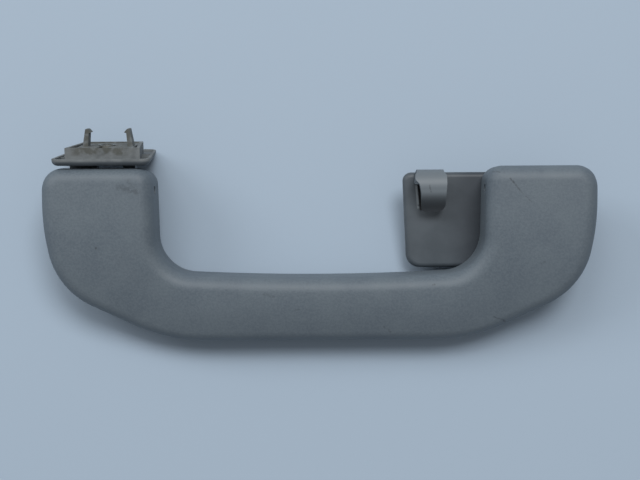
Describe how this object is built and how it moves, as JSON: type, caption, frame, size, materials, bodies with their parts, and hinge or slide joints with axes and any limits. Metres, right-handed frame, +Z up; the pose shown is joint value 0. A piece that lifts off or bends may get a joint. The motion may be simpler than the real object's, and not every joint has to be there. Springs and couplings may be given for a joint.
{
  "type": "roof grab handle",
  "caption": "U-shaped roof grab handle with two folding mounting feet on cross pins; one foot carries a coat hook, the other stands swung open.",
  "frame": {"origin": "on the table under the middle of the whole handle as it lies on its back", "axes": "+X along the bar towards the foot with the coat hook, +Y from the bar to the arms' ends, +Z up from the table; the grip leans 13.8 degrees about X"},
  "size_m": [0.225, 0.0876, 0.0379],
  "materials": {
    "grip_plastic": "fine moulded grain, mid grey polypropylene",
    "foot_plastic": "smooth moulded, mid grey",
    "pin_steel": "drawn, zinc plated",
    "sleeve_steel": "rolled, zinc plated",
    "spring_steel": "drawn spring wire",
    "damper_plastic": "moulded acetal, black",
    "seal_rubber": "moulded"
  },
  "bodies": {
    "root": {"grip": "grip_plastic", "left_hinge_pin": "pin_steel", "right_hinge_pin": "pin_steel", "return_spring": "spring_steel", "damper_housing": "damper_plastic", "damper_cap": "damper_plastic", "damper_seal": "seal_rubber"},
    "left_foot_body": {"left_foot": "foot_plastic", "left_bolt_sleeve": "sleeve_steel", "damper_rotor": "damper_plastic"},
    "right_foot_body": {"right_foot": "foot_plastic", "right_bolt_sleeve": "sleeve_steel"}
  },
  "joints": [
    {"name": "left_foot_hinge", "type": "hinge", "parent": "root", "child": "left_foot_body", "pos_m": [-0.0873, 0.01631, 0.02729], "axis": [1, 0, 0], "range_deg": [-96, 0]},
    {"name": "right_foot_hinge", "type": "hinge", "parent": "root", "child": "right_foot_body", "pos_m": [0.0873, 0.01631, 0.02729], "axis": [1, 0, 0], "range_deg": [0, 96], "stiffness_Nm_per_rad": 0.06, "springref_deg": -91.67, "deforming": ["return_spring"]}
  ]
}
